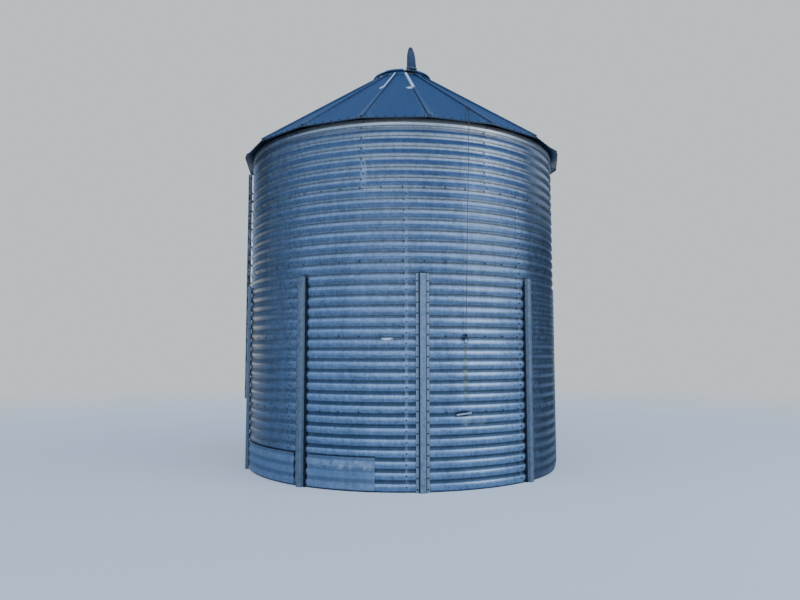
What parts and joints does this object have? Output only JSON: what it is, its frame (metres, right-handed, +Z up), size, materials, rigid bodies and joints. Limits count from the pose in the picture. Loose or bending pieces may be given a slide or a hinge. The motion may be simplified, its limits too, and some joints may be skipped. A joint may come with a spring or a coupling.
{
  "type": "grain silo",
  "caption": "Flat-bottom corrugated steel grain silo with wall stiffeners, a ribbed cone roof, a hinged filler lid, a side ladder and a lid rope.",
  "frame": {"origin": "on the ground, under the middle of the floor", "axes": "+Z up along the silo's axis, -Y towards the front that the picture shows, +X to the viewer's right"},
  "size_m": [4.5206, 4.481, 5.9134],
  "materials": {
    "wall_steel": "weathered galvanised corrugated sheet, blue-grey with spangle and light streaks",
    "stiffener_steel": "dull grey galvanised",
    "roof_steel": "weathered galvanised sheet, darker blue-grey",
    "fitting_steel": "dull galvanised fittings with light rust",
    "ladder_steel": "dull dark galvanised",
    "floor_steel": "dull galvanised sheet",
    "strip_steel": "flat galvanised strip with dirt at the foot",
    "rope_fibre": "weathered dark twisted rope"
  },
  "bodies": {
    "silo": {"base_strip_1": "strip_steel", "base_strip_2": "strip_steel", "eave_ring": "fitting_steel", "floor_sheet": "floor_steel", "hinge_bracket": "fitting_steel", "ladder": "ladder_steel", "ladder_bracket_1": "ladder_steel", "ladder_bracket_2": "ladder_steel", "ladder_bracket_3": "ladder_steel", "lid_rope": "rope_fibre", "pull_ring": "fitting_steel", "roof_collar": "roof_steel", "roof_sector_1": "roof_steel", "roof_sector_2": "roof_steel", "roof_sector_3": "roof_steel", "roof_sector_4": "roof_steel", "roof_sector_5": "roof_steel", "roof_sector_6": "roof_steel", "rope_eye": "fitting_steel", "rope_hook": "fitting_steel", "stiffener_1": "stiffener_steel", "stiffener_2": "stiffener_steel", "stiffener_3": "stiffener_steel", "stiffener_4": "stiffener_steel", "stiffener_5": "stiffener_steel", "stiffener_6": "stiffener_steel", "stiffener_7": "stiffener_steel", "stiffener_8": "stiffener_steel", "stiffener_9": "stiffener_steel", "wall_cleat": "fitting_steel", "wall_ring_1_a": "wall_steel", "wall_ring_1_b": "wall_steel", "wall_ring_1_c": "wall_steel", "wall_ring_2_a": "wall_steel", "wall_ring_2_b": "wall_steel", "wall_ring_2_c": "wall_steel", "wall_ring_3_a": "wall_steel", "wall_ring_3_b": "wall_steel", "wall_ring_3_c": "wall_steel", "wall_ring_4_a": "wall_steel", "wall_ring_4_b": "wall_steel", "wall_ring_4_c": "wall_steel", "wall_ring_5_a": "wall_steel", "wall_ring_5_b": "wall_steel", "wall_ring_5_c": "wall_steel"},
    "lid": {"lid_brace": "fitting_steel", "lid_disc": "roof_steel", "lid_lever": "fitting_steel"}
  },
  "joints": [
    {"name": "lid_hinge", "type": "hinge", "parent": "silo", "child": "lid", "pos_m": [0.13739, -0.42536, 5.59], "axis": [0.9516, 0.3074, 0], "range_deg": [0, 100]}
  ]
}
